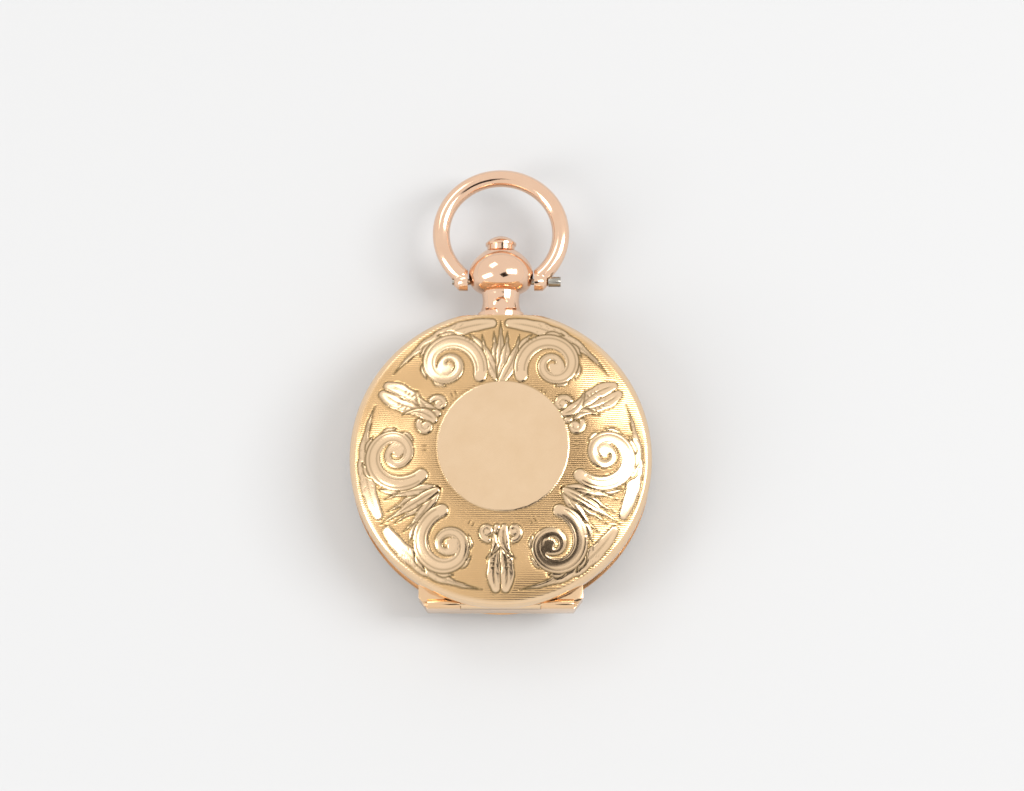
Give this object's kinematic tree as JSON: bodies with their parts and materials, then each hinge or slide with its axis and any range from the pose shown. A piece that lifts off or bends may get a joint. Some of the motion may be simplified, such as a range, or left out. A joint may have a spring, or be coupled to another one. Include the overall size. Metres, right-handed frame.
{
  "type": "fob watch",
  "caption": "Small hunter-cased fob watch with an engraved front cover, ball pendant, push button and bow, hinged covers and a key-wind movement.",
  "frame": {"origin": "middle of the flat disc on the back cover, on the dial's axis", "axes": "+Z out of the front cover, +Y from the dial's centre to the pendant, +X to 3 o'clock"},
  "size_m": [0.034, 0.051, 0.0116],
  "materials": {
    "lid_gold": "polished and engraved",
    "rose_gold": "polished",
    "band_gold": "polished",
    "steel": "polished",
    "blued_steel": "heat blued",
    "enamel": "fired enamel",
    "glass": "polished",
    "gilt_brass": "frosted gilt",
    "ruby": "polished"
  },
  "bodies": {
    "case": {"case_band": "band_gold", "pendant_neck": "rose_gold", "pendant_ball": "rose_gold", "bow_screw": "steel", "lift_spring": "steel", "spring_screws": "steel", "front_hinge_pin": "steel", "back_hinge_pin": "steel", "glass_bezel": "band_gold", "crystal": "glass", "dial": "enamel", "dial_feet": "gilt_brass", "main_plate": "gilt_brass", "case_screws": "steel", "barrel_bridge": "gilt_brass", "centre_bridge": "gilt_brass", "third_cock": "gilt_brass", "fourth_cock": "gilt_brass", "escape_cock": "gilt_brass", "balance_cock": "gilt_brass", "bridge_screws": "steel", "train_jewels": "ruby", "end_stone": "ruby", "regulator": "steel", "hairspring_stud": "steel", "minute_wheel_stud": "steel", "click_screw": "steel", "click_spring": "steel"},
    "front_cover": {"front_cover": "lid_gold"},
    "back_cover": {"back_cover": "lid_gold"},
    "cuvette": {"cuvette": "band_gold"},
    "bow": {"bow": "rose_gold"},
    "push_piece": {"push_piece": "rose_gold"},
    "lock_spring": {"lock_spring": "steel"},
    "setting": {"set_arbor": "steel", "cannon_pinion": "steel", "minute_hand": "blued_steel"},
    "hour": {"hour_wheel": "gilt_brass", "hour_hand": "blued_steel"},
    "minute_wheel": {"minute_wheel": "gilt_brass"},
    "centre_wheel": {"centre_wheel": "gilt_brass"},
    "third_wheel": {"third_wheel": "gilt_brass"},
    "fourth_wheel": {"fourth_wheel": "gilt_brass"},
    "escape_wheel": {"escape_wheel": "gilt_brass"},
    "barrel": {"barrel_drum": "gilt_brass", "barrel_cover": "gilt_brass", "mainspring": "steel"},
    "winding": {"barrel_arbor": "steel", "ratchet_wheel": "steel"},
    "click": {"click": "steel"},
    "balance": {"balance_wheel": "gilt_brass", "balance_cylinder": "steel", "hairspring": "blued_steel"}
  },
  "joints": [
    {"name": "front_cover_hinge", "type": "hinge", "parent": "case", "child": "front_cover", "pos_m": [0, -0.0164, 0.0076], "axis": [1, 0, 0], "range_deg": [0, 90]},
    {"name": "back_cover_hinge", "type": "hinge", "parent": "case", "child": "back_cover", "pos_m": [0, -0.0164, 0.004], "axis": [-1, 0, 0], "range_deg": [0, 90]},
    {"name": "cuvette_hinge", "type": "hinge", "parent": "case", "child": "cuvette", "pos_m": [0, -0.0164, 0.004], "axis": [-1, 0, 0], "range_deg": [0, 76.5]},
    {"name": "bow_pivot", "type": "hinge", "parent": "case", "child": "bow", "pos_m": [0, 0.0209, 0.0058], "axis": [1, 0, 0], "range_deg": [-135, 135]},
    {"name": "push_slide", "type": "slide", "parent": "case", "child": "push_piece", "axis": [0, -1, 0], "range_m": [0, 0.0005], "stiffness_N_per_m": 600},
    {"name": "lock_spring_bend", "type": "hinge", "parent": "case", "child": "lock_spring", "pos_m": [-0.0088, 0.01257, 0.0062], "axis": [0, 0, 1], "range_deg": [-4, 0]},
    {"name": "hand_setting", "type": "hinge", "parent": "case", "child": "setting", "pos_m": [0, 0, 0.007], "axis": [0, 0, 1], "continuous": true},
    {"name": "hour_wheel_turn", "type": "hinge", "parent": "case", "child": "hour", "pos_m": [0, 0, 0.007], "axis": [0, 0, 1], "continuous": true},
    {"name": "minute_wheel_turn", "type": "hinge", "parent": "case", "child": "minute_wheel", "pos_m": [0.0012, -0.00208, 0.006], "axis": [0, 0, 1], "continuous": true},
    {"name": "going_train", "type": "hinge", "parent": "case", "child": "centre_wheel", "pos_m": [0, 0, 0.0048], "axis": [0, 0, 1], "continuous": true},
    {"name": "barrel_turn", "type": "hinge", "parent": "case", "child": "barrel", "pos_m": [0.00318, 0.00509, 0.004], "axis": [0, 0, 1], "continuous": true},
    {"name": "third_wheel_turn", "type": "hinge", "parent": "case", "child": "third_wheel", "pos_m": [-0.00425, -0.00075, 0.0042], "axis": [0, 0, 1], "continuous": true},
    {"name": "fourth_wheel_turn", "type": "hinge", "parent": "case", "child": "fourth_wheel", "pos_m": [-0.00458, -0.00448, 0.0042], "axis": [0, 0, 1], "continuous": true},
    {"name": "escape_wheel_turn", "type": "hinge", "parent": "case", "child": "escape_wheel", "pos_m": [-0.00148, -0.0056, 0.0042], "axis": [0, 0, 1], "continuous": true},
    {"name": "winding_turn", "type": "hinge", "parent": "case", "child": "winding", "pos_m": [0.00318, 0.00509, 0.004], "axis": [0, 0, 1], "continuous": true},
    {"name": "click_lift", "type": "hinge", "parent": "case", "child": "click", "pos_m": [0.00035, 0.00623, 0.002], "axis": [0, 0, 1], "range_deg": [-8, 0]},
    {"name": "balance_swing", "type": "hinge", "parent": "case", "child": "balance", "pos_m": [0.0007, -0.00591, 0.004], "axis": [0, 0, 1], "range_deg": [-130, 130]}
  ],
  "couplings": [
    {"joint": "cuvette_hinge", "follows": "back_cover_hinge", "ratio": 0.85},
    {"joint": "lock_spring_bend", "follows": "push_slide", "rad_per_m": -113.58},
    {"joint": "hour_wheel_turn", "follows": "hand_setting", "ratio": 0.083333},
    {"joint": "minute_wheel_turn", "follows": "hand_setting", "ratio": -0.33333},
    {"joint": "barrel_turn", "follows": "going_train", "ratio": -0.14286},
    {"joint": "third_wheel_turn", "follows": "going_train", "ratio": -8},
    {"joint": "fourth_wheel_turn", "follows": "going_train", "ratio": 60},
    {"joint": "escape_wheel_turn", "follows": "going_train", "ratio": -600}
  ]
}
